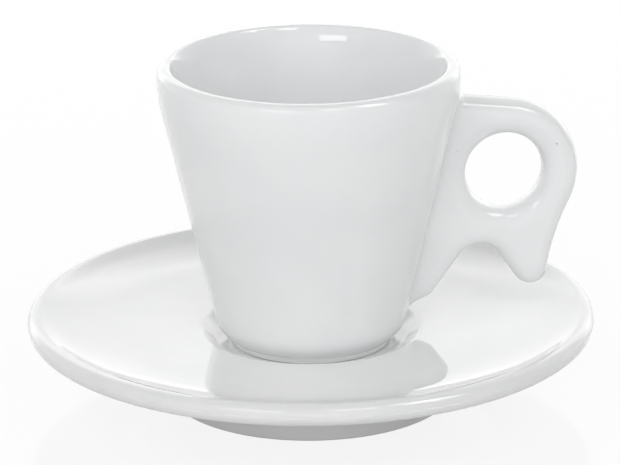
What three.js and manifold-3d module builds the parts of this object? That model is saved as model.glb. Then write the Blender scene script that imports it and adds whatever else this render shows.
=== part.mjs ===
// A thick-walled porcelain espresso cup with a pierced fin handle, standing in the well of its saucer.
// Millimetres, +Z up. The origin is the middle of the saucer's foot, on the table.
// The handle points along +X.

import * as THREE from 'three';
import { mergeVertices } from 'three/addons/utils/BufferGeometryUtils.js';
import Module from 'manifold-3d';

const wasm = await Module();
wasm.setup();

const degrees = THREE.MathUtils.degToRad;

// Saucer: a shallow dish with a full-round rim, a sunk well and a foot ring
const SAUCER_DIAMETER = 120;
const SAUCER_HEIGHT = 18.9;
const SAUCER_WALL = 4.4;
const FLANK_RADIUS = 130;
const FLANK_SLOPE_AT_LIP = degrees(2);
const LIP_DROP = 4.7;
const LIP_RADIUS = 1.4;
const WELL_DEPTH = 2.3;
const WELL_WALL_RUN = 2.9;
const WELL_FILLET = 2.5;
const WELL_FLOOR_THICKNESS = 6;
const SAUCER_FOOT_DIAMETER = 61;
const SAUCER_TREAD_WIDTH = 2.6;
const SAUCER_FOOT_DRAFT = degrees(8);
const SAUCER_FOOT_ROOT = 6;
const SAUCER_RECESS_FILLET = 4;
const TREAD_EDGE = 0.7;

// Cup body: a cone with a rounded heel and a small foot ring.
// Its rounded lip turns upright outside and flares a little on the inside.
const CUP_HEIGHT = 60.55;
const CUP_RIM_DIAMETER = 63.3;
const CUP_WALL = 4.7;
const CUP_BASE = 6;
const CUP_FOOT_DIAMETER = 34;
const CUP_FOOT_HEIGHT = 1.3;
const CUP_FOOT_FLARE = 0.4;
const CUP_TREAD_WIDTH = 2.6;
const CUP_FOOT_RECESS = 1.6;
const CUP_FOOT_EDGE = 0.4;
const HEEL_STEP = 2.3;
const HEEL_RISE = 1.4;
const HEEL_RADIUS = 5.5;
const RIM_BEND_DEPTH = 6.25;
const RIM_BEND_RADIUS = 26;
const RIM_WIDTH = 2.55;
const RIM_OUTER_RADIUS = 2;
const RIM_INNER_RADIUS = 1;
const RIM_FLARE_DEPTH = 2.7;
const RIM_FLARE_RADIUS = 15;
const FLOOR_FILLET = 8;

// The cup stands in the well with this much room round its foot
const WELL_PLAY = 3.6;

// Handle: a fin with a ring round the finger hole, a tail, an arched notch and a web to the heel
const HANDLE_THICKNESS = 9.2;
const HANDLE_EDGE_BAND = 1;
const HANDLE_EDGE_WIDTH = 3.2;
const HANDLE_FACE_CORNER = 0.3;
const FINGER_HOLE_DIAMETER = 17.4;
const FINGER_HOLE_EDGE = 2;
const RING_WIDTH = 7.1;
const RING_DROP = 9.45;
const RING_TO_CUP = 5.4;
const HANDLE_TOP_DROP = 8.15;
const BRIDGE_WIDTH = 7.4;
const NOTCH_RADIUS = 5.2;
const NOTCH_INSET = 5.4;
const TAIL_RADIUS = 3.7;
const TAIL_OFFSET = 5.7;
const TAIL_HEIGHT = 9.8;
const BACK_HOLLOW_RADIUS = 56;
const WEB_HEIGHT = 11.55;
const WEB_OFFSET = 1.65;
const WEB_RADIUS = 3.6;
const WEB_FOOT_HEIGHT = 6.1;

// Slip sticks the handle on: a thin joint, wiped to a small hollow fillet along both faces of the root.
// At the top and bottom ends of the root the fillet is smaller still.
const SLIP_JOINT = 0.3;
const SLIP_FILLET = 0.8;
const SLIP_FILLET_AT_ENDS = 0.6;

// Fineness of the round surfaces
const CHORD_ERROR = 0.05;
const LATHE_STEPS = 64;
const EDGE_STEPS = 4;
const FILLET_STEPS = 4;

const lipHeight = SAUCER_HEIGHT - LIP_DROP;
const wellFloorHeight = lipHeight - WELL_DEPTH;
const cupFootRadius = CUP_FOOT_DIAMETER / 2;
const cupRimRadius = CUP_RIM_DIAMETER / 2;

// The cup's side is a straight cone between the heel's corner and the bend under the rim
const heelCorner = new THREE.Vector2(
  cupFootRadius + CUP_FOOT_FLARE + HEEL_STEP,
  CUP_FOOT_HEIGHT + HEEL_RISE,
);
const bendCorner = new THREE.Vector2(cupRimRadius, CUP_HEIGHT - RIM_BEND_DEPTH);
const sideTaper = (bendCorner.x - heelCorner.x) / (bendCorner.y - heelCorner.y);
const sideRadius = (height) => heelCorner.x + (height - heelCorner.y) * sideTaper;

// Points along an arc, close enough that no chord strays from it by more than CHORD_ERROR
function arcPoints(centre, radius, from, to) {
  const widestStep = 2 * Math.acos(Math.max(0, 1 - CHORD_ERROR / radius));
  const steps = Math.max(1, Math.ceil(Math.abs(to - from) / widestStep));
  const points = [];
  for (let i = 0; i <= steps; i += 1) {
    const angle = from + ((to - from) * i) / steps;
    points.push(new THREE.Vector2(Math.cos(angle), Math.sin(angle)).multiplyScalar(radius).add(centre));
  }
  return points;
}

// An open profile through corners of [radius, height, rounding], rounded by tangent arcs.
// A corner with no rounding stays sharp.
// Where two roundings don't fit on the run between them, both shrink to share it.
function roundedProfile(corners) {
  const at = corners.map(([x, y]) => new THREE.Vector2(x, y));
  const run = (i) => at[i + 1].clone().sub(at[i]);
  const turn = (i) => Math.atan2(run(i - 1).cross(run(i)), run(i - 1).dot(run(i)));
  const inner = (i) => i > 0 && i < at.length - 1;
  const wanted = corners.map(([, , rounding = 0], i) => (
    inner(i) ? rounding * Math.abs(Math.tan(turn(i) / 2)) : 0
  ));
  const share = (i) => {
    const needed = wanted[i] + wanted[i + 1];
    return needed > run(i).length() ? run(i).length() / needed : 1;
  };
  return at.flatMap((corner, i) => {
    const tangent = inner(i) ? wanted[i] * Math.min(share(i - 1), share(i)) : 0;
    if (tangent === 0) return [corner];
    const into = run(i - 1).normalize();
    const side = Math.sign(turn(i));
    const radius = tangent / Math.abs(Math.tan(turn(i) / 2));
    const leftward = new THREE.Vector2(-into.y, into.x).multiplyScalar(side * radius);
    const centre = corner.clone().addScaledVector(into, -tangent).add(leftward);
    const from = Math.atan2(-leftward.y, -leftward.x);
    return arcPoints(centre, radius, from, from + turn(i));
  });
}

// A closed outline drawn like a belt round pulleys of { x, y, radius, hollow }, anticlockwise.
// A hollow one bends the belt the other way, and one of radius 0 is a plain corner.
function beltOutline(pulleys) {
  const count = pulleys.length;
  const reach = pulleys.map(({ radius, hollow }) => (hollow ? -radius : radius));
  const headings = pulleys.map((pulley, i) => {
    const next = pulleys[(i + 1) % count];
    const span = new THREE.Vector2(next.x - pulley.x, next.y - pulley.y);
    const lean = (reach[(i + 1) % count] - reach[i]) / span.length();
    return span.angle() - Math.asin(THREE.MathUtils.clamp(lean, -1, 1));
  });
  return pulleys.flatMap(({ x, y, radius, hollow }, i) => {
    const centre = new THREE.Vector2(x, y);
    if (radius === 0) return [centre];
    const way = hollow ? -1 : 1;
    const arriving = headings[(i + count - 1) % count];
    const swing = way * THREE.MathUtils.euclideanModulo(way * (headings[i] - arriving), 2 * Math.PI);
    const from = arriving - way * (Math.PI / 2);
    return arcPoints(centre, radius, from, from + swing);
  });
}

// Where two straight lines meet, each given by a point and its slope angle
function lineMeet(p, slopeP, q, slopeQ) {
  const riseP = Math.tan(slopeP);
  const riseQ = Math.tan(slopeQ);
  const x = (q.y - p.y + riseP * p.x - riseQ * q.x) / (riseP - riseQ);
  return new THREE.Vector2(x, p.y + riseP * (x - p.x));
}

// A closed body through rings of as many points each, with a fan over the first and the last.
// Seen from the last ring, each ring runs anticlockwise.
function lofted(rings) {
  const count = rings[0].length;
  const middle = (ring) => {
    const sum = new THREE.Vector3();
    ring.forEach((point) => sum.add(point));
    return sum.divideScalar(count);
  };
  const points = [...rings.flat(), middle(rings[0]), middle(rings.at(-1))];
  const firstMiddle = points.length - 2;
  const lastMiddle = points.length - 1;
  const lastRing = (rings.length - 1) * count;
  const index = [];
  for (let i = 0; i < count; i += 1) {
    const next = (i + 1) % count;
    for (let base = 0; base < lastRing; base += count) {
      index.push(base + i, base + next, base + count + next);
      index.push(base + i, base + count + next, base + count + i);
    }
    index.push(firstMiddle, next, i);
    index.push(lastMiddle, lastRing + i, lastRing + next);
  }
  return new THREE.BufferGeometry().setFromPoints(points).setIndex(index);
}

// A closed body turned round the Z axis from a profile that starts and ends on the axis
function turned(profile) {
  return new THREE.LatheGeometry(profile, LATHE_STEPS).rotateX(Math.PI / 2);
}

// Geometry to a solid for cutting, with its corners merged and the flat triangles on the axis left out
function toSolid(geometry) {
  const bare = geometry.clone();
  bare.deleteAttribute('normal');
  bare.deleteAttribute('uv');
  const merged = mergeVertices(bare);
  const triVerts = [];
  for (let i = 0; i < merged.index.count; i += 3) {
    const corners = [0, 1, 2].map((k) => merged.index.getX(i + k));
    if (new Set(corners).size === 3) triVerts.push(...corners);
  }
  return new wasm.Manifold(new wasm.Mesh({
    numProp: 3,
    vertProperties: merged.attributes.position.array,
    triVerts: Uint32Array.from(triVerts),
  }));
}

// A cut solid back to geometry
function toGeometry(solid) {
  const { vertProperties, triVerts } = solid.getMesh();
  const geometry = new THREE.BufferGeometry();
  geometry.setAttribute('position', new THREE.Float32BufferAttribute(vertProperties, 3));
  geometry.setIndex(new THREE.Uint32BufferAttribute(triVerts, 1));
  geometry.computeVertexNormals();
  return geometry;
}

// White hard-paste porcelain under a clear gloss glaze
function glazedPorcelain() {
  return new THREE.MeshStandardMaterial({ color: 0xeef0f1, roughness: 0.12, metalness: 0 });
}

function piece(name, geometry) {
  const mesh = new THREE.Mesh(geometry, glazedPorcelain());
  mesh.name = name;
  return mesh;
}

function makeSaucer() {
  const rimRadius = SAUCER_DIAMETER / 2;
  const rimEdge = SAUCER_WALL / 2;
  const wellRadius = cupFootRadius + WELL_PLAY;
  const recessHeight = wellFloorHeight - WELL_FLOOR_THICKNESS;
  const footRadius = SAUCER_FOOT_DIAMETER / 2;
  const footInner = footRadius - SAUCER_TREAD_WIDTH;

  // The flank's middle line leaves the lip at its own slope, bends halfway and runs on to the rim.
  // Its top and its underside lie half a wall to either side.
  const across = (slope, distance) => (
    new THREE.Vector2(-Math.sin(slope), Math.cos(slope)).multiplyScalar(distance)
  );
  const lip = new THREE.Vector2(wellRadius + WELL_WALL_RUN, lipHeight);
  const lipUnder = lip.clone().sub(across(FLANK_SLOPE_AT_LIP, SAUCER_WALL));
  const lipCentre = lip.clone().add(lipUnder).divideScalar(2);
  const rimCentre = new THREE.Vector2(rimRadius - rimEdge, SAUCER_HEIGHT - rimEdge);
  const halfRun = (rimCentre.x - lipCentre.x) / 2;
  const riseAfterBend = rimCentre.y - lipCentre.y - halfRun * Math.tan(FLANK_SLOPE_AT_LIP);
  const slopeAtRim = Math.atan2(riseAfterBend, halfRun);
  const rimTop = rimCentre.clone().add(across(slopeAtRim, rimEdge));
  const rimUnder = rimCentre.clone().sub(across(slopeAtRim, rimEdge));
  const flankTop = lineMeet(lip, FLANK_SLOPE_AT_LIP, rimTop, slopeAtRim);
  const flankUnder = lineMeet(lipUnder, FLANK_SLOPE_AT_LIP, rimUnder, slopeAtRim);
  const outerAt = (point) => point.y + (rimRadius - point.x) * Math.tan(slopeAtRim);
  const footWall = Math.PI / 2 - SAUCER_FOOT_DRAFT;
  const footRoot = lineMeet(new THREE.Vector2(footRadius, 0), footWall, lipUnder, FLANK_SLOPE_AT_LIP);
  const recessRadius = footInner - recessHeight * Math.tan(SAUCER_FOOT_DRAFT);

  return piece('saucer', turned(roundedProfile([
    [0, recessHeight],
    [recessRadius, recessHeight, SAUCER_RECESS_FILLET],
    [footInner, 0, TREAD_EDGE],
    [footRadius, 0, TREAD_EDGE],
    [footRoot.x, footRoot.y, SAUCER_FOOT_ROOT],
    [flankUnder.x, flankUnder.y, FLANK_RADIUS + SAUCER_WALL],
    [rimRadius, outerAt(rimUnder), rimEdge],
    [rimRadius, outerAt(rimTop), rimEdge],
    [flankTop.x, flankTop.y, FLANK_RADIUS],
    [lip.x, lip.y, LIP_RADIUS],
    [wellRadius, wellFloorHeight, WELL_FILLET],
    [0, wellFloorHeight],
  ])));
}

// The cup's outer side from the foot's edge to the bend under the rim, moved out by an allowance
function cupSide(allowance) {
  return [
    [cupFootRadius + allowance, 0, CUP_FOOT_EDGE],
    [cupFootRadius + CUP_FOOT_FLARE + allowance, CUP_FOOT_HEIGHT, CUP_FOOT_EDGE],
    [heelCorner.x + allowance, heelCorner.y, HEEL_RADIUS],
    [bendCorner.x + allowance, bendCorner.y, RIM_BEND_RADIUS],
  ];
}

function makeCupBody() {
  const footInner = cupFootRadius - CUP_TREAD_WIDTH;
  const innerRadius = (height) => sideRadius(height) - CUP_WALL * Math.hypot(1, sideTaper);
  const flareHeight = CUP_HEIGHT - RIM_FLARE_DEPTH;

  return piece('cup_body', turned(roundedProfile([
    [0, CUP_FOOT_RECESS],
    [footInner - CUP_FOOT_EDGE, CUP_FOOT_RECESS, CUP_FOOT_EDGE],
    [footInner, 0, CUP_FOOT_EDGE],
    ...cupSide(0),
    [cupRimRadius, CUP_HEIGHT, RIM_OUTER_RADIUS],
    [cupRimRadius - RIM_WIDTH, CUP_HEIGHT, RIM_INNER_RADIUS],
    [innerRadius(flareHeight), flareHeight, RIM_FLARE_RADIUS],
    [innerRadius(CUP_BASE), CUP_BASE, FLOOR_FILLET],
    [0, CUP_BASE],
  ])));
}

// The fin's outline in the plane of the handle: x out from the cup's axis, y up from its foot.
// It is drawn in to the axis, and what lies inside the cup is cut away afterwards.
function handleOutline(ring) {
  const onSide = (height) => ({ x: sideRadius(height), y: height, radius: 0 });
  const onAxis = (height) => ({ x: 0, y: height, radius: 0 });
  const topHeight = CUP_HEIGHT - HANDLE_TOP_DROP;
  const holeBottom = ring.y - FINGER_HOLE_DIAMETER / 2;
  const web = { x: sideRadius(WEB_HEIGHT) + WEB_OFFSET, y: WEB_HEIGHT, radius: WEB_RADIUS };
  const notch = {
    x: ring.x - NOTCH_INSET,
    y: holeBottom - BRIDGE_WIDTH - NOTCH_RADIUS,
    radius: NOTCH_RADIUS,
    hollow: true,
  };
  const tail = { x: ring.x + TAIL_OFFSET, y: TAIL_HEIGHT + TAIL_RADIUS, radius: TAIL_RADIUS };

  // The hollow of the back touches the tail and the ring, so its centre is set by its distances to both
  const span = new THREE.Vector2(ring.x - tail.x, ring.y - tail.y);
  const toTail = BACK_HOLLOW_RADIUS + tail.radius;
  const toRing = BACK_HOLLOW_RADIUS + ring.radius;
  const along = (span.lengthSq() + toTail ** 2 - toRing ** 2) / (2 * span.length());
  const aside = Math.sqrt(toTail ** 2 - along ** 2);
  const up = span.clone().normalize();
  const back = {
    x: tail.x + up.x * along + up.y * aside,
    y: tail.y + up.y * along - up.x * aside,
    radius: BACK_HOLLOW_RADIUS,
    hollow: true,
  };

  return beltOutline([
    onAxis(topHeight),
    onAxis(WEB_FOOT_HEIGHT),
    onSide(WEB_FOOT_HEIGHT),
    web,
    notch,
    tail,
    back,
    ring,
    onSide(topHeight),
  ]);
}

// A cutter for the finger hole: a cylinder that flares where the hole's two edges are rounded
function makeHoleCutter(ring) {
  const radius = FINGER_HOLE_DIAMETER / 2;
  const half = HANDLE_THICKNESS / 2;
  const past = half + FINGER_HOLE_EDGE;
  const flared = radius + FINGER_HOLE_EDGE;
  const profile = [
    [0, -past],
    [flared, -past],
    [flared, -half],
    [radius, -half, FINGER_HOLE_EDGE],
    [radius, half, FINGER_HOLE_EDGE],
    [flared, half],
    [flared, past],
    [0, past],
  ];
  return new THREE.LatheGeometry(roundedProfile(profile), LATHE_STEPS / 2).translate(ring.x, 0, ring.y);
}

// Where the fin's outline crosses a line at some distance outside the cup's side, lowest first.
// Each crossing has its height, and how far up the side the rounded edge of the fin reaches there.
function rootCrossings(outline, distance, edgeWidth) {
  const side = new THREE.Vector2(sideTaper, 1).normalize();
  const beyond = ({ x, y }) => x - sideRadius(y) - distance;
  return outline.flatMap((from, i) => {
    const to = outline[(i + 1) % outline.length];
    if (beyond(from) < 0 === beyond(to) < 0) return [];
    const at = from.clone().lerp(to, beyond(from) / (beyond(from) - beyond(to)));
    const run = to.clone().sub(from).normalize();
    return [{ height: at.y, reach: (edgeWidth * side.y) / Math.abs(side.cross(run)) }];
  }).sort((a, b) => a.height - b.height);
}

// A collar round the fin's root that widens towards the cup in a quarter circle.
// It starts inside the cup and ends inside the fin, so both cut it to its visible part.
function makeRootFillet(outline, edgeWidth) {
  const edgeDepth = (HANDLE_THICKNESS - HANDLE_EDGE_BAND) / 2;
  const start = SLIP_JOINT / 2;
  const levels = [{ distance: -CUP_WALL / 2, widening: 1 }];
  for (let i = 0; i <= FILLET_STEPS; i += 1) {
    const angle = (Math.PI / 2) * (i / FILLET_STEPS);
    levels.push({ distance: start + SLIP_FILLET * (1 - Math.cos(angle)), widening: 1 - Math.sin(angle) });
  }
  levels.push({ distance: start + SLIP_FILLET + SLIP_JOINT, widening: -SLIP_JOINT / SLIP_FILLET });

  const rings = levels.map(({ distance, widening }) => {
    const crossings = rootCrossings(outline, distance, edgeWidth);
    const bottom = crossings.at(0);
    const top = crossings.at(-1);
    const depth = edgeDepth + widening * SLIP_FILLET;
    const endGrowth = widening * SLIP_FILLET_AT_ENDS;
    const half = [];
    for (let i = 0; i <= EDGE_STEPS; i += 1) {
      const angle = (Math.PI / 2) * (i / EDGE_STEPS);
      const rise = (bottom.reach + endGrowth) * Math.cos(angle);
      half.push([HANDLE_EDGE_BAND / 2 + depth * Math.sin(angle), bottom.height + bottom.reach - rise]);
    }
    for (let i = EDGE_STEPS; i >= 0; i -= 1) {
      const angle = (Math.PI / 2) * (i / EDGE_STEPS);
      const rise = (top.reach + endGrowth) * Math.cos(angle);
      half.push([HANDLE_EDGE_BAND / 2 + depth * Math.sin(angle), top.height - top.reach + rise]);
    }
    const around = [...half, ...half.map(([y, z]) => [-y, z]).reverse()];
    return around.map(([y, z]) => {
      const radius = sideRadius(z) + distance;
      return new THREE.Vector3(Math.sqrt(radius ** 2 - y ** 2), y, z);
    });
  });
  return lofted(rings);
}

function makeCupHandle() {
  const ringRadius = FINGER_HOLE_DIAMETER / 2 + RING_WIDTH;
  const ringHeight = CUP_HEIGHT - RING_DROP - ringRadius;
  const ring = {
    x: sideRadius(ringHeight) + RING_TO_CUP + FINGER_HOLE_DIAMETER / 2,
    y: ringHeight,
    radius: ringRadius,
  };

  // The rounding of the edge reaches in no further than the outline's tightest corner lets it
  const edgeWidth = Math.min(HANDLE_EDGE_WIDTH, Math.min(TAIL_RADIUS, WEB_RADIUS) - HANDLE_FACE_CORNER);
  const outline = handleOutline(ring);
  const fin = new THREE.ExtrudeGeometry(new THREE.Shape(outline), {
    depth: HANDLE_EDGE_BAND,
    bevelThickness: (HANDLE_THICKNESS - HANDLE_EDGE_BAND) / 2,
    bevelSize: edgeWidth,
    bevelOffset: -edgeWidth,
    bevelSegments: EDGE_STEPS,
  }).translate(0, 0, -HANDLE_EDGE_BAND / 2).rotateX(Math.PI / 2);

  const trim = turned(roundedProfile([
    [0, 0],
    ...cupSide(SLIP_JOINT),
    [cupRimRadius + SLIP_JOINT, CUP_HEIGHT],
    [0, CUP_HEIGHT],
  ]));
  const solid = toSolid(fin)
    .subtract(toSolid(makeHoleCutter(ring)))
    .add(toSolid(makeRootFillet(outline, edgeWidth)))
    .subtract(toSolid(trim));
  return piece('cup_handle', toGeometry(solid));
}

const cup = new THREE.Group();
cup.position.z = wellFloorHeight;
cup.add(makeCupBody(), makeCupHandle());

const cupAndSaucer = new THREE.Group();
cupAndSaucer.add(makeSaucer(), cup);

export default cupAndSaucer;
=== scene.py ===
"""A white porcelain espresso cup in the well of its saucer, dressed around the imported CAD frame.

The shapes are worked out in millimetres, with heights of the cup counted from its foot, and are
scaled to metres when a mesh is made. +Z is up and the handle points along +X.
"""

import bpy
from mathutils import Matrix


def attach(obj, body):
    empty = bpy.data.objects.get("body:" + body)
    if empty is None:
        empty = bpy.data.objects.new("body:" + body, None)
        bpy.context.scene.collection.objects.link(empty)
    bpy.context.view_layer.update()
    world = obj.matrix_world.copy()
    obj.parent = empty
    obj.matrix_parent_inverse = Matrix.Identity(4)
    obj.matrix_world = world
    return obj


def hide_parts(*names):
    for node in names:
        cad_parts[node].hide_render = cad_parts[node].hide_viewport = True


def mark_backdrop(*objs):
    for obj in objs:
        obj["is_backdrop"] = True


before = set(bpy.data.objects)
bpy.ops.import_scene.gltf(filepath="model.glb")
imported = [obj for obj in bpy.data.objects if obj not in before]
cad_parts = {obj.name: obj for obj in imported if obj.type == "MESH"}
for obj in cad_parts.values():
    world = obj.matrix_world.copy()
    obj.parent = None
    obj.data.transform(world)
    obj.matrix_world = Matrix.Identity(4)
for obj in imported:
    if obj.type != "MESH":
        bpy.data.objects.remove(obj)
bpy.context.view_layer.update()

import math

import bpy
import numpy as np
from mathutils import Matrix, Vector

MM = 0.001

# Saucer
SAUCER_RADIUS = 60.0
SAUCER_HEIGHT = 18.883
SAUCER_WALL = 4.4
FLANK_RADIUS = 50.0
FLANK_SLOPE = math.radians(14.5)
FLANK_SLOPE_AT_LIP = math.radians(2)
RIM_TURN_RADIUS_FROM_AXIS = 54.3
RIM_TURN_ROUND = 14.0
RIM_SLOPE = math.radians(24)
UNDER_RADIUS = 100.0
UNDER_BEND_AT = 0.6
LIP_RADIUS_FROM_AXIS = 23.4
LIP_HEIGHT = 14.55
LIP_ROUND = 2.5
WELL_RADIUS = 19.75
WELL_FLOOR = 11.9
WELL_FILLET = 3.0
RECESS_HEIGHT = 5.9
RECESS_FILLET = 4.0
FOOT_RADIUS = 30.5
TREAD_WIDTH = 2.6
FOOT_DRAFT = math.radians(8)
FOOT_ROOT_FILLET = 6.0
TREAD_EDGE = 0.7
SAUCER_BARE_BELOW = 0.3

# Cup body
CUP_HEIGHT = 60.55
CUP_RIM_RADIUS = 31.65
CUP_WALL = 4.7
CUP_BASE = 6.0
CUP_FOOT_RADIUS = 17.0
CUP_FOOT_HEIGHT = 1.3
CUP_FOOT_FLARE = 0.4
CUP_FOOT_RECESS = 1.6
CUP_FOOT_EDGE = 0.4
HEEL_RADIUS = 19.7
HEEL_HEIGHT = 2.7
HEEL_ROUND = 5.5
BEND_HEIGHT = 54.3
BEND_ROUND = 26.0
RIM_WIDTH = 2.55
RIM_OUTER_ROUND = 2.0
RIM_INNER_ROUND = 1.0
FLARE_HEIGHT = 57.85
FLARE_ROUND = 15.0
FLOOR_FILLET = 8.0
CUP_BARE_BELOW = 0.2
SIDE_TAPER = (CUP_RIM_RADIUS - HEEL_RADIUS) / (BEND_HEIGHT - HEEL_HEIGHT)
SIDE_COS = 1 / math.hypot(1, SIDE_TAPER)

# Handle, with its circles as (distance from the axis, height, radius)
RING = (41.35, 35.3, 15.8)
NOTCH = (35.95, 14.0, 5.2)
TAIL = (47.05, 13.5, 3.7)
WEB = (23.4, 11.55, 3.6)
BACK_HOLLOW = 56.0
HANDLE_TOP = 52.4
HANDLE_FOOT = 6.1
HALF_THICKNESS = 4.6
EDGE_CROWN = 7.0
EDGE_CORNER = 1.2
HOLE_RADIUS = 8.25
HOLE_CROWN = 7.0
HOLE_CORNER = 2.0
HOLE_ZONE = 4.0
SLIP_ROUND = 1.0
SLIP_ROUND_TOP = 1.8
SLIP_SWELL_BELOW_TOP = 3.5
SLIP_SWELL_LENGTH = 3.0
ROOT_DEPTH = 0.6
RUN_INTO_CUP_TIMES = 4

# Fineness of the meshes
ARC_STEP = math.radians(5)
RUN_STEP = 1.2
TURN_STEPS = 192
GRID = 0.36
GRID_MARGIN_LOW = np.array([3.0, 2.5, 2.5])
GRID_MARGIN_HIGH = np.array([1.0, 2.5, 4.0])
GRID_OFF_MIDDLE = 0.01
RELAX_ROUNDS = 4
RELAX_SHARE = 0.5
PULLS_PER_ROUND = 2
LEAST_SLOPE_SQUARED = 0.2
SLOPE_STEP = 1e-3
TINY = 1e-6


def side_radius(height):
    return HEEL_RADIUS + (height - HEEL_HEIGHT) * SIDE_TAPER


def rounded(corners):
    """An open profile through (radius, height, rounding) corners, rounded by tangent arcs.
    Where two roundings don't fit on the run between them, both shrink to share it."""
    at = np.array([corner[:2] for corner in corners], float)
    run = np.diff(at, axis=0)
    length = np.hypot(*run.T)
    heading = np.unwrap(np.arctan2(run[:, 1], run[:, 0]))
    turn = np.zeros(len(at))
    turn[1:-1] = np.diff(heading)
    rounding = np.array([corner[2] if len(corner) > 2 else 0 for corner in corners])
    wanted = rounding * np.abs(np.tan(turn / 2))
    share = np.minimum(1, length / np.maximum(wanted[:-1] + wanted[1:], TINY))
    points = [at[0]]

    def run_to(target):
        start = points[-1]
        count = max(1, math.ceil(np.hypot(*(target - start)) / RUN_STEP))
        points.extend(start + (target - start) * k / count for k in range(1, count + 1))

    for i in range(1, len(at) - 1):
        tangent = wanted[i] * min(share[i - 1], share[i])
        if tangent == 0:
            run_to(at[i])
            continue
        into = run[i - 1] / length[i - 1]
        radius = tangent / abs(math.tan(turn[i] / 2)) * np.sign(turn[i])
        centre = at[i] - into * tangent + np.array([-into[1], into[0]]) * radius
        run_to(at[i] - into * tangent)
        count = max(2, math.ceil(abs(turn[i]) / ARC_STEP))
        for k in range(1, count + 1):
            angle = heading[i - 1] - math.pi / 2 + turn[i] * k / count
            points.append(centre + radius * np.array([math.cos(angle), math.sin(angle)]))
    run_to(at[-1])
    return np.array(points)


def line_meet(first, first_slope, second, second_slope):
    """Where the line through the first point crosses the line through the second."""
    first_rise = math.tan(first_slope)
    second_rise = math.tan(second_slope)
    intercept_gap = second[1] - first[1] + first_rise * first[0] - second_rise * second[0]
    x = intercept_gap / (first_rise - second_rise)
    return np.array([x, first[1] + first_rise * (x - first[0])])


def mesh_object(name, points, faces, materials, face_material=None, normals=None):
    mesh = bpy.data.meshes.new(name)
    mesh.from_pydata((np.asarray(points) * MM).tolist(), [], faces)
    for material in materials:
        mesh.materials.append(material)
    if face_material is not None:
        mesh.polygons.foreach_set("material_index", face_material)
    mesh.shade_smooth()
    mesh.update()
    if normals is not None:
        mesh.normals_split_custom_set_from_vertices(normals.tolist())
    piece = bpy.data.objects.new(name, mesh)
    bpy.context.scene.collection.objects.link(piece)
    return piece


def turned(name, profile, materials, bare_below):
    """A body turned round the Z axis from a profile that starts and ends on the axis.
    Faces that lie below the height bare_below get the second material."""
    inner = profile[1:-1]
    angles = np.arange(TURN_STEPS) * 2 * math.pi / TURN_STEPS
    rings = np.stack([
        inner[:, None, 0] * np.cos(angles),
        inner[:, None, 0] * np.sin(angles),
        np.repeat(inner[:, None, 1], TURN_STEPS, 1),
    ], -1).reshape(-1, 3)
    points = np.vstack([rings, [[0, 0, profile[0][1]], [0, 0, profile[-1][1]]]])
    first = len(points) - 2
    last = len(points) - 1
    top = (len(inner) - 1) * TURN_STEPS
    faces = []
    bare = []
    for i in range(TURN_STEPS):
        j = (i + 1) % TURN_STEPS
        faces.append((first, j, i))
        bare.append(0)
        for row in range(len(inner) - 1):
            low = row * TURN_STEPS
            high = low + TURN_STEPS
            faces.append((low + i, low + j, high + j, high + i))
            bare.append(int(max(inner[row][1], inner[row + 1][1]) < bare_below))
        faces.append((top + i, top + j, last))
        bare.append(0)
    return mesh_object(name, points, faces, materials, bare)


# Materials

# Tones of the glaze as (main, clouds, specks)
SAUCER_TONES = ((0.82, 0.825, 0.82), (0.795, 0.802, 0.8), (0.78, 0.78, 0.77))
CUP_TONES = ((0.865, 0.872, 0.877), (0.84, 0.848, 0.855), (0.83, 0.83, 0.825))
BARE_TONE = (0.74, 0.71, 0.66)
GRIME_TONE = (0.55, 0.52, 0.47)
GLAZE_IOR = 1.52
GLAZE_ROUGHNESS = (0.012, 0.03)
BARE_ROUGHNESS = (0.78, 0.62)

# Patterns of noise as (patches per metre, layers of detail)
CLOUDS = (45.0, 3.0)
SPECK_PATCHES = (130.0, 1.0)
GLOSS_PATCHES = (70.0, 3.0)
WAVES = (60.0, 1.0)
RIPPLES = (900.0, 2.0)
GRIME = (240.0, 5.0)
GRAIN = (2600.0, 3.0)
SPECK_CELLS_PER_METRE = 210.0

# Stretches of a pattern, each spread from one end of an effect to the other
CLOUD_STRETCH = (0.35, 0.65)
SPECK_PATCH_STRETCH = (0.62, 0.68)
SPECK_STRETCH = (0.03, 0.075)
GLOSS_STRETCH = (0.3, 0.7)
GRIME_STRETCH = (0.45, 0.75)
NONE_TO_FULL = (0.0, 1.0)
FULL_TO_NONE = (1.0, 0.0)

# Bumps as (depth in metres, strength)
WAVE_BUMP = (0.0004, 0.05)
RIPPLE_BUMP = (0.00003, 0.05)
GRAIN_BUMP = (0.00006, 0.5)

# Sockets of a mix node: its two inputs and its result
MIX_SOCKETS = {"FLOAT": (2, 3, 0), "RGBA": (6, 7, 2)}


def node_material(name):
    material = bpy.data.materials.new(name)
    material.use_nodes = True
    return material, material.node_tree


def feed(tree, socket, value):
    """Gives a socket a colour, a number or the output of another node."""
    if isinstance(value, tuple):
        socket.default_value = (*value, 1)
    elif isinstance(value, float):
        socket.default_value = value
    else:
        tree.links.new(value, socket)


def calculated(tree, operation, *values):
    node = tree.nodes.new("ShaderNodeMath")
    node.operation = operation
    for socket, value in zip(node.inputs, values):
        feed(tree, socket, value)
    return node.outputs[0]


def mixed(tree, kind, factor, first, second):
    """A mix of two numbers, of kind FLOAT, or of two colours, of kind RGBA."""
    mix = tree.nodes.new("ShaderNodeMix")
    mix.data_type = kind
    first_socket, second_socket, result = MIX_SOCKETS[kind]
    feed(tree, mix.inputs[0], factor)
    feed(tree, mix.inputs[first_socket], first)
    feed(tree, mix.inputs[second_socket], second)
    return mix.outputs[result]


def noise(tree, where, scale, detail):
    texture = tree.nodes.new("ShaderNodeTexNoise")
    texture.inputs["Scale"].default_value = scale
    texture.inputs["Detail"].default_value = detail
    feed(tree, texture.inputs["Vector"], where)
    return texture.outputs["Fac"]


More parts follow.
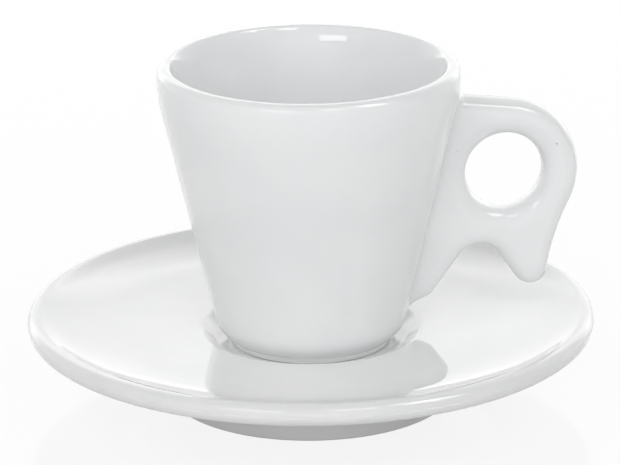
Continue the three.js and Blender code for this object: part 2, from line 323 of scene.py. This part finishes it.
def spread(tree, value, stretch, to):
    """A value taken smoothly from one stretch of numbers to another."""
    ranged = tree.nodes.new("ShaderNodeMapRange")
    ranged.interpolation_type = "SMOOTHSTEP"
    for key, number in zip(("From Min", "From Max", "To Min", "To Max"), (*stretch, *to)):
        ranged.inputs[key].default_value = number
    feed(tree, ranged.inputs["Value"], value)
    return ranged.outputs["Result"]


def bump(tree, height, depth, strength, under=None):
    node = tree.nodes.new("ShaderNodeBump")
    node.inputs["Distance"].default_value = depth
    node.inputs["Strength"].default_value = strength
    feed(tree, node.inputs["Height"], height)
    if under is not None:
        feed(tree, node.inputs["Normal"], under)
    return node.outputs["Normal"]


def glazed_porcelain(name, main, cloud, speck):
    """White porcelain under a clear gloss glaze: faint clouds of tone, rare faint specks and a
    slightly uneven skin."""
    material, tree = node_material(name)
    shader = tree.nodes["Principled BSDF"]
    where = tree.nodes.new("ShaderNodeTexCoord").outputs["Object"]
    clouds = spread(tree, noise(tree, where, *CLOUDS), CLOUD_STRETCH, NONE_TO_FULL)
    colour = mixed(tree, "RGBA", clouds, main, cloud)
    cells = tree.nodes.new("ShaderNodeTexVoronoi")
    cells.inputs["Scale"].default_value = SPECK_CELLS_PER_METRE
    feed(tree, cells.inputs["Vector"], where)
    patches = noise(tree, where, *SPECK_PATCHES)
    rare = spread(tree, patches, SPECK_PATCH_STRETCH, NONE_TO_FULL)
    dots = spread(tree, cells.outputs["Distance"], SPECK_STRETCH, FULL_TO_NONE)
    specks = calculated(tree, "MULTIPLY", rare, dots)
    feed(tree, shader.inputs["Base Color"], mixed(tree, "RGBA", specks, colour, speck))
    gloss = spread(tree, noise(tree, where, *GLOSS_PATCHES), GLOSS_STRETCH, GLAZE_ROUGHNESS)
    feed(tree, shader.inputs["Roughness"], gloss)
    feed(tree, shader.inputs["IOR"], GLAZE_IOR)
    skin = bump(tree, noise(tree, where, *WAVES), *WAVE_BUMP)
    skin = bump(tree, noise(tree, where, *RIPPLES), *RIPPLE_BUMP, skin)
    feed(tree, shader.inputs["Normal"], skin)
    return material


def bare_porcelain(name):
    """The ground, unglazed tread of a foot ring: matt, warmer and a little grimy."""
    material, tree = node_material(name)
    shader = tree.nodes["Principled BSDF"]
    where = tree.nodes.new("ShaderNodeTexCoord").outputs["Object"]
    grime = spread(tree, noise(tree, where, *GRIME), GRIME_STRETCH, NONE_TO_FULL)
    feed(tree, shader.inputs["Base Color"], mixed(tree, "RGBA", grime, BARE_TONE, GRIME_TONE))
    feed(tree, shader.inputs["Roughness"], spread(tree, grime, NONE_TO_FULL, BARE_ROUGHNESS))
    feed(tree, shader.inputs["Normal"], bump(tree, noise(tree, where, *GRAIN), *GRAIN_BUMP))
    return material


SAUCER_GLAZE = glazed_porcelain("saucer_glaze", *SAUCER_TONES)
CUP_GLAZE = glazed_porcelain("cup_glaze", *CUP_TONES)
BARE = bare_porcelain("bare_tread")


# Saucer


def make_saucer():
    edge = SAUCER_WALL / 2

    def across(slope, distance):
        return np.array([-math.sin(slope), math.cos(slope)]) * distance

    def along(point, slope, radius):
        return np.array([radius, point[1] + (radius - point[0]) * math.tan(slope)])

    lip = np.array([LIP_RADIUS_FROM_AXIS, LIP_HEIGHT])
    lip_under = lip - across(FLANK_SLOPE_AT_LIP, SAUCER_WALL)
    lip_centre = (lip + lip_under) / 2
    rim_centre = np.array([SAUCER_RADIUS - edge, SAUCER_HEIGHT - edge])
    run = rim_centre[0] - lip_centre[0]
    rise = rim_centre[1] - lip_centre[1] - UNDER_BEND_AT * run * math.tan(FLANK_SLOPE_AT_LIP)
    under_slope = math.atan2(rise, (1 - UNDER_BEND_AT) * run)

    rim_top = rim_centre + across(RIM_SLOPE, edge)
    rim_under = rim_centre - across(under_slope, edge)
    rim_turn = along(rim_top, RIM_SLOPE, RIM_TURN_RADIUS_FROM_AXIS)
    flank_top = line_meet(lip, FLANK_SLOPE_AT_LIP, rim_turn, FLANK_SLOPE)
    flank_under = line_meet(lip_under, FLANK_SLOPE_AT_LIP, rim_under, under_slope)

    foot_inner = FOOT_RADIUS - TREAD_WIDTH
    foot_slope = math.pi / 2 - FOOT_DRAFT
    foot_root = line_meet((FOOT_RADIUS, 0), foot_slope, lip_under, FLANK_SLOPE_AT_LIP)
    profile = rounded([
        (0, RECESS_HEIGHT),
        (foot_inner - RECESS_HEIGHT * math.tan(FOOT_DRAFT), RECESS_HEIGHT, RECESS_FILLET),
        (foot_inner, 0, TREAD_EDGE),
        (FOOT_RADIUS, 0, TREAD_EDGE),
        (*foot_root, FOOT_ROOT_FILLET),
        (*flank_under, UNDER_RADIUS),
        (*along(rim_under, under_slope, SAUCER_RADIUS), edge),
        (*along(rim_top, RIM_SLOPE, SAUCER_RADIUS), edge),
        (*rim_turn, RIM_TURN_ROUND),
        (*flank_top, FLANK_RADIUS),
        (*lip, LIP_ROUND),
        (WELL_RADIUS, WELL_FLOOR, WELL_FILLET),
        (0, WELL_FLOOR),
    ])
    return turned("saucer_dish", profile, [SAUCER_GLAZE, BARE], SAUCER_BARE_BELOW)


# Cup body


def cup_profile():
    foot_inner = CUP_FOOT_RADIUS - TREAD_WIDTH
    wall_across = CUP_WALL * math.hypot(1, SIDE_TAPER)
    return rounded([
        (0, CUP_FOOT_RECESS),
        (foot_inner - CUP_FOOT_EDGE, CUP_FOOT_RECESS, CUP_FOOT_EDGE),
        (foot_inner, 0, CUP_FOOT_EDGE),
        (CUP_FOOT_RADIUS, 0, CUP_FOOT_EDGE),
        (CUP_FOOT_RADIUS + CUP_FOOT_FLARE, CUP_FOOT_HEIGHT, CUP_FOOT_EDGE),
        (HEEL_RADIUS, HEEL_HEIGHT, HEEL_ROUND),
        (CUP_RIM_RADIUS, BEND_HEIGHT, BEND_ROUND),
        (CUP_RIM_RADIUS, CUP_HEIGHT, RIM_OUTER_ROUND),
        (CUP_RIM_RADIUS - RIM_WIDTH, CUP_HEIGHT, RIM_INNER_ROUND),
        (side_radius(FLARE_HEIGHT) - wall_across, FLARE_HEIGHT, FLARE_ROUND),
        (side_radius(CUP_BASE) - wall_across, CUP_BASE, FLOOR_FILLET),
        (0, CUP_BASE),
    ])


def make_cup_body():
    profile = cup_profile() + np.array([0, WELL_FLOOR])
    return turned("cup_bowl", profile, [CUP_GLAZE, BARE], WELL_FLOOR + CUP_BARE_BELOW)


# Handle: the skin of a field that is below zero inside, netted on a grid and pulled to the surface


def tangent_span(start, start_way, end, end_way):
    """The straight run of an anticlockwise belt from one circle to the next, as its two end points.
    A circle is (x, y, radius), and one with way -1 bends the belt the other way."""
    start_centre = np.array(start[:2])
    end_centre = np.array(end[:2])
    span = end_centre - start_centre
    lean = (end_way * end[2] - start_way * start[2]) / np.hypot(*span)
    heading = math.atan2(span[1], span[0]) - math.asin(max(-1, min(1, lean)))
    out = np.array([math.sin(heading), -math.cos(heading)])
    return start_centre + out * start_way * start[2], end_centre + out * end_way * end[2]


def handle_outline():
    """Circles and straight runs round the fin, each run with the fin on its left.
    The first run and the last are drawn out into the cup."""
    ring = np.array(RING[:2])
    tail = np.array(TAIL[:2])
    span = ring - tail
    gap = np.hypot(*span)
    reach_tail = BACK_HOLLOW + TAIL[2]
    reach_ring = BACK_HOLLOW + RING[2]
    along = (gap ** 2 + reach_tail ** 2 - reach_ring ** 2) / (2 * gap)
    aside = math.sqrt(reach_tail ** 2 - along ** 2)
    up = span / gap
    back = (*(tail + up * along + np.array([up[1], -up[0]]) * aside), BACK_HOLLOW)
    top = (side_radius(HANDLE_TOP), HANDLE_TOP, 0.0)
    foot = (side_radius(HANDLE_FOOT), HANDLE_FOOT, 0.0)
    belt = [(foot, 1), (WEB, 1), (NOTCH, -1), (TAIL, 1), (back, -1), (RING, 1), (top, 1)]
    spans = [tangent_span(*belt[i], *belt[i + 1]) for i in range(len(belt) - 1)]
    first = spans[0]
    last = spans[-1]
    spans[0] = (first[1] + (first[0] - first[1]) * RUN_INTO_CUP_TIMES, first[1])
    spans[-1] = (last[0], last[0] + (last[1] - last[0]) * RUN_INTO_CUP_TIMES)
    return belt, spans


BELT, SPANS = handle_outline()


def inside_distance(x, z):
    """How far a point in the handle's plane lies inside its outline."""
    place = np.stack([x, z], -1)
    best = np.full(x.shape, np.inf)
    signed = np.zeros(x.shape)
    for start, end in SPANS:
        run = end - start
        length = np.hypot(*run)
        if length < TINY:
            continue
        from_start = place - start
        passed = np.clip((from_start @ run) / length ** 2, 0, 1)
        off = from_start - passed[..., None] * run
        away = np.hypot(off[..., 0], off[..., 1])
        side = run[0] * from_start[..., 1] - run[1] * from_start[..., 0]
        nearer = away < best
        best = np.where(nearer, away, best)
        signed = np.where(nearer, np.where(side > 0, away, -away), signed)
    for i in range(1, len(BELT) - 1):
        (centre_x, centre_z, radius), way = BELT[i]
        centre = np.array([centre_x, centre_z])
        begin = SPANS[i - 1][1] - centre
        finish = SPANS[i][0] - centre
        cross = begin[0] * finish[1] - begin[1] * finish[0]
        swing = way * (math.atan2(way * cross, begin @ finish) % (2 * math.pi))
        middle = math.atan2(begin[1], begin[0]) + swing / 2
        off = place - centre
        turn = np.arctan2(off[..., 1], off[..., 0]) - middle
        turn = (turn + math.pi) % (2 * math.pi) - math.pi
        on_arc = np.abs(turn) <= abs(swing) / 2
        reach = np.hypot(off[..., 0], off[..., 1])
        away = np.abs(reach - radius)
        nearer = on_arc & (away < best)
        best = np.where(nearer, away, best)
        signed = np.where(nearer, way * (radius - reach), signed)
    return signed


def edged(depth, y, crown, corner):
    """Field of a plate with a crowned edge and a rounded corner between the edge and the face."""
    edge = np.hypot(np.maximum(crown - depth, 0), y) - crown
    face = np.abs(y) - HALF_THICKNESS
    both = np.hypot(np.maximum(edge + corner, 0), np.maximum(face + corner, 0))
    return np.minimum(np.maximum(edge, face), -corner) + both


def cup_side():
    """The stretch of the cup's profile that the handle joins, from the heel to the widest point."""
    profile = cup_profile()
    heel = np.argmin(np.hypot(*(profile - (HEEL_RADIUS, HEEL_HEIGHT)).T))
    widest = np.argmax(profile[:, 0])
    return profile[heel:widest + 1]


CUP_SIDE = cup_side()


def handle_field(points, depth=None):
    """The field of the handle's visible skin, and that of the solid with its root in the cup."""
    x, y, z = points[..., 0], points[..., 1], points[..., 2]
    if depth is None:
        depth = inside_distance(x, z)
    fin = edged(depth, y, EDGE_CROWN, EDGE_CORNER)
    off_cup = (np.hypot(x, y) - np.interp(z, CUP_SIDE[:, 1], CUP_SIDE[:, 0])) * SIDE_COS
    near_top = np.clip((z - HANDLE_TOP + SLIP_SWELL_BELOW_TOP) / SLIP_SWELL_LENGTH, 0, 1)
    swell = near_top ** 2 * (3 - 2 * near_top)
    slip = SLIP_ROUND + (SLIP_ROUND_TOP - SLIP_ROUND) * swell
    bead = np.hypot(np.maximum(slip - fin, 0), np.maximum(slip - off_cup, 0))
    joined = np.maximum(slip, np.minimum(fin, off_cup)) - bead
    from_hole = np.hypot(x - RING[0], z - RING[1]) - HOLE_RADIUS
    hole = edged(from_hole, y, HOLE_CROWN, HOLE_CORNER)
    skin = np.where(from_hole < HOLE_ZONE, np.maximum(joined, hole), joined)
    hidden = np.maximum(-(off_cup + ROOT_DEPTH), fin - slip)
    return skin, np.maximum(skin, hidden)


def skin_field(points):
    return handle_field(points)[0]


def solid_field(points):
    return handle_field(points)[1]


def gradient(field, points):
    slopes = []
    for axis in range(3):
        shift = np.zeros(3)
        shift[axis] = SLOPE_STEP
        slopes.append((field(points + shift) - field(points - shift)) / (2 * SLOPE_STEP))
    return np.stack(slopes, -1)


def surface_net(values, corner, step):
    """Corner points and four-cornered faces of the surface where a field on a grid crosses zero."""
    inside = values < 0
    cells = tuple(size - 1 for size in values.shape)
    total = np.zeros(cells + (3,))
    count = np.zeros(cells)
    crossings = []
    for axis in range(3):
        low = [slice(None)] * 3
        high = [slice(None)] * 3
        low[axis] = slice(None, -1)
        high[axis] = slice(1, None)
        low = tuple(low)
        high = tuple(high)
        at = np.argwhere(inside[low] != inside[high])
        low_value = values[low][tuple(at.T)]
        high_value = values[high][tuple(at.T)]
        place = at.astype(float)
        place[:, axis] += low_value / (low_value - high_value)
        crossings.append((at, inside[low][tuple(at.T)]))
        others = [other for other in range(3) if other != axis]
        for first_step in (0, -1):
            for second_step in (0, -1):
                cell = at.copy()
                cell[:, others[0]] += first_step
                cell[:, others[1]] += second_step
                ok = np.all((cell >= 0) & (cell < cells), 1)
                np.add.at(total, tuple(cell[ok].T), place[ok])
                np.add.at(count, tuple(cell[ok].T), 1)
    used = count > 0
    number = np.full(cells, -1)
    number[used] = np.arange(used.sum())
    points = corner + step * total[used] / count[used][:, None]
    faces = []
    for axis, (at, low_inside) in enumerate(crossings):
        next_axis = (axis + 1) % 3
        last_axis = (axis + 2) % 3
        around = []
        for next_step, last_step in ((0, 0), (-1, 0), (-1, -1), (0, -1)):
            cell = at.copy()
            cell[:, next_axis] += next_step
            cell[:, last_axis] += last_step
            around.append(number[tuple(cell.T)])
        quad = np.stack(around, -1)
        quad[~low_inside] = quad[~low_inside][:, ::-1]
        faces.append(quad)
    return points, np.vstack(faces)


def make_cup_handle():
    """Nets the handle's field, then evens the net out and pulls it onto the surface by turns.
    The grid lies a hair off the middle plane, so that none of its points falls on it."""
    low = np.array([side_radius(HANDLE_FOOT), -HALF_THICKNESS, HANDLE_FOOT]) - GRID_MARGIN_LOW
    high = np.array([RING[0] + RING[2], HALF_THICKNESS, HANDLE_TOP]) + GRID_MARGIN_HIGH
    counts = np.ceil((high - low) / GRID).astype(int) + 1
    counts[1] += 1 - counts[1] % 2
    low[1] = -GRID * (counts[1] - 1) / 2 + GRID * GRID_OFF_MIDDLE
    axes = [low[axis] + GRID * np.arange(counts[axis]) for axis in range(3)]
    flat_x, flat_z = np.meshgrid(axes[0], axes[2], indexing="ij")
    depth = inside_distance(flat_x, flat_z)[:, None, :]
    grid = np.stack(np.meshgrid(*axes, indexing="ij"), -1)
    values = handle_field(grid, np.broadcast_to(depth, grid.shape[:3]))[1]
    points, faces = surface_net(values, low, GRID)

    edges = np.vstack([faces[:, [k, (k + 1) % 4]] for k in range(4)])
    for relaxed in range(RELAX_ROUNDS):
        if relaxed:
            total = np.zeros_like(points)
            np.add.at(total, edges[:, 0], points[edges[:, 1]])
            near = np.bincount(edges[:, 0], minlength=len(points))[:, None]
            points = points + RELAX_SHARE * (total / near - points)
        for _ in range(PULLS_PER_ROUND):
            slope = gradient(solid_field, points)
            scale = solid_field(points) / np.maximum((slope ** 2).sum(-1), LEAST_SLOPE_SQUARED)
            points = points - np.clip(scale, -GRID, GRID)[:, None] * slope
    normals = gradient(skin_field, points)
    normals /= np.maximum(np.linalg.norm(normals, axis=1, keepdims=True), TINY)
    points = points + np.array([0, 0, WELL_FLOOR])
    return mesh_object("cup_fin_handle", points, faces.tolist(), [CUP_GLAZE], normals=normals)


saucer = make_saucer()
cup_body = make_cup_body()
cup_handle = make_cup_handle()

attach(saucer, "saucer")
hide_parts("saucer")
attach(cup_body, "cup")
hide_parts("cup_body")
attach(cup_handle, "cup")
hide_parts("cup_handle")


# Stage: a white table top in a white room, soft lamps on all sides and small panels for the glints

WHITE = 1.0
FLOOR_HALF = 3.0
FLOOR_TONE = (0.85, 0.85, 0.85)
FLOOR_ROUGHNESS = 0.08
FLOOR_IOR = 1.7
FLOOR_WHITE_TO_CAMERA = 0.85
FLOOR_WHITE_IN_GLAZE = 0.35


def make_floor():
    """A pale glossy floor, blended with plain white where the camera or the glaze sees it."""
    material, tree = node_material("table_top")
    shader = tree.nodes["Principled BSDF"]
    feed(tree, shader.inputs["Base Color"], FLOOR_TONE)
    feed(tree, shader.inputs["Roughness"], FLOOR_ROUGHNESS)
    feed(tree, shader.inputs["IOR"], FLOOR_IOR)
    plain = tree.nodes.new("ShaderNodeEmission")
    feed(tree, plain.inputs["Strength"], WHITE)
    path = tree.nodes.new("ShaderNodeLightPath").outputs
    seen = calculated(tree, "MAXIMUM", path["Is Camera Ray"], path["Is Transmission Ray"])
    to_camera = calculated(tree, "MULTIPLY", seen, FLOOR_WHITE_TO_CAMERA)
    glossy = path["Is Glossy Ray"]
    share = calculated(tree, "MULTIPLY_ADD", glossy, FLOOR_WHITE_IN_GLAZE, to_camera)
    mix = tree.nodes.new("ShaderNodeMixShader")
    for socket, value in zip(mix.inputs, (share, shader.outputs[0], plain.outputs[0])):
        feed(tree, socket, value)
    feed(tree, tree.nodes["Material Output"].inputs["Surface"], mix.outputs[0])
    corners = np.array([(-1, -1, 0), (1, -1, 0), (1, 1, 0), (-1, 1, 0)])
    floor = mesh_object("table_top", corners * FLOOR_HALF / MM, [(0, 1, 2, 3)], [material])
    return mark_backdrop(floor)


make_floor()

# What the glaze mirrors, as (how far a direction points straight back, from -1 to 1, brightness)
BACKDROP = (
    (-1.0, 1.2), (-0.93, 1.0), (-0.75, 0.3), (0.2, 0.25), (0.5, 1.0),
    (0.7, 1.35), (0.85, 2.85), (0.91, 1.9), (0.975, 1.8), (0.99, 1.8),
)
ROOM_LEVEL = 0.07
CAMERA_TURN = math.radians(-8)


def make_world():
    """A room that is white to the camera, a graded backdrop to the glaze and dim as a light."""
    world = bpy.data.worlds.new("soft_room")
    bpy.context.scene.world = world
    world.use_nodes = True
    tree = world.node_tree
    back = tree.nodes.new("ShaderNodeVectorMath")
    back.operation = "DOT_PRODUCT"
    back.inputs[1].default_value = (math.sin(-CAMERA_TURN), math.cos(CAMERA_TURN), 0)
    feed(tree, back.inputs[0], tree.nodes.new("ShaderNodeTexCoord").outputs["Generated"])
    ramp = tree.nodes.new("ShaderNodeValToRGB")
    # The ramp runs from 0 to 1, so a direction's value from -1 to 1 is halved and raised by a half
    feed(tree, ramp.inputs["Fac"], calculated(tree, "MULTIPLY_ADD", back.outputs["Value"], 0.5, 0.5))
    stops = ramp.color_ramp.elements
    while len(stops) < len(BACKDROP):
        stops.new(0.5)
    for stop, (facing, level) in zip(stops, BACKDROP):
        stop.position = (facing + 1) / 2
        stop.color = (level, level, level, 1)
    path = tree.nodes.new("ShaderNodeLightPath").outputs
    strength = mixed(tree, "FLOAT", path["Is Glossy Ray"], ROOM_LEVEL, ramp.outputs["Color"])
    for ray in ("Is Camera Ray", "Is Transmission Ray"):
        strength = mixed(tree, "FLOAT", path[ray], strength, WHITE)
    background = tree.nodes["Background"].inputs
    feed(tree, background["Color"], (1.0, 1.0, 1.0))
    feed(tree, background["Strength"], strength)


make_world()

# Lamps as (name, azimuth, elevation, width and height in degrees, distance in metres, radiance)
SOFT_LAMPS = (
    ("front_low", -2, 13, 80, 26, 1.4, 1.6),
    ("front_high", -2, 46, 80, 24, 1.4, 2.15),
    ("left", -90, 35, 70, 50, 1.4, 0.9),
    ("right", 90, 35, 70, 50, 1.4, 0.85),
    ("back", 180, 20, 110, 36, 1.4, 1.6),
)
GLINT_PANELS = (
    ("strip_right", 62, 52, 16, 24, 0.6, 6.5),
    ("panel_left", -23.5, 34, 21.5, 9.6, 0.308, 4.6),
    ("panel_right", 21, 50, 13, 9, 0.35, 6.6),
)
LAMP_AIM = Vector((0, 0, 0.045))


def direction_to(azimuth, elevation):
    """Azimuth is counted to the right from the side of -Y, and elevation up from the table."""
    level = math.cos(elevation)
    return Vector((math.sin(azimuth) * level, -math.cos(azimuth) * level, math.sin(elevation)))


def panel(name, azimuth, elevation, width, height, distance, radiance, mirrored):
    """A lit panel, seen either only in the glaze or only as soft light.
    Its azimuth is counted from the camera's side."""
    direction = direction_to(math.radians(azimuth) + CAMERA_TURN, math.radians(elevation))
    lamp = bpy.data.lights.new(name, "AREA")
    lamp.shape = "RECTANGLE"
    lamp.size = 2 * distance * math.tan(math.radians(width) / 2)
    lamp.size_y = 2 * distance * math.tan(math.radians(height) / 2)
    lamp.energy = radiance * math.pi * lamp.size * lamp.size_y
    light = bpy.data.objects.new(name, lamp)
    light.location = LAMP_AIM + direction * distance
    light.rotation_euler = direction.to_track_quat("Z", "Y").to_euler()
    light.visible_diffuse = not mirrored
    light.visible_glossy = mirrored
    bpy.context.scene.collection.objects.link(light)


for soft_lamp in SOFT_LAMPS:
    panel(*soft_lamp, mirrored=False)
for glint_panel in GLINT_PANELS:
    panel(*glint_panel, mirrored=True)

# Camera, with its sensor in millimetres and its distances in metres
IMAGE_WIDTH = 620
FOCAL_PIXELS = 3792.5
SENSOR_WIDTH = 36.0
CLIP_START = 0.01
CAMERA_DISTANCE = 0.8
CAMERA_PITCH = math.radians(18.75)
CAMERA_ROLL = math.radians(-0.5)
CAMERA_TARGET = Vector((0, 0, 0.0352))


def make_camera():
    data = bpy.data.cameras.new("camera")
    data.sensor_fit = "HORIZONTAL"
    data.sensor_width = SENSOR_WIDTH
    data.lens = FOCAL_PIXELS / IMAGE_WIDTH * SENSOR_WIDTH
    data.clip_start = CLIP_START
    camera = bpy.data.objects.new("camera", data)
    back = direction_to(CAMERA_TURN, CAMERA_PITCH)
    right = Vector((math.cos(CAMERA_TURN), math.sin(CAMERA_TURN), 0))
    up = back.cross(right)
    rolled_right = right * math.cos(CAMERA_ROLL) + up * math.sin(CAMERA_ROLL)
    rolled_up = up * math.cos(CAMERA_ROLL) - right * math.sin(CAMERA_ROLL)
    turn = Matrix((rolled_right, rolled_up, back)).transposed().to_4x4()
    camera.matrix_world = Matrix.Translation(CAMERA_TARGET + back * CAMERA_DISTANCE) @ turn
    bpy.context.scene.collection.objects.link(camera)
    bpy.context.scene.camera = camera


make_camera()
bpy.context.scene.view_settings.view_transform = "Standard"
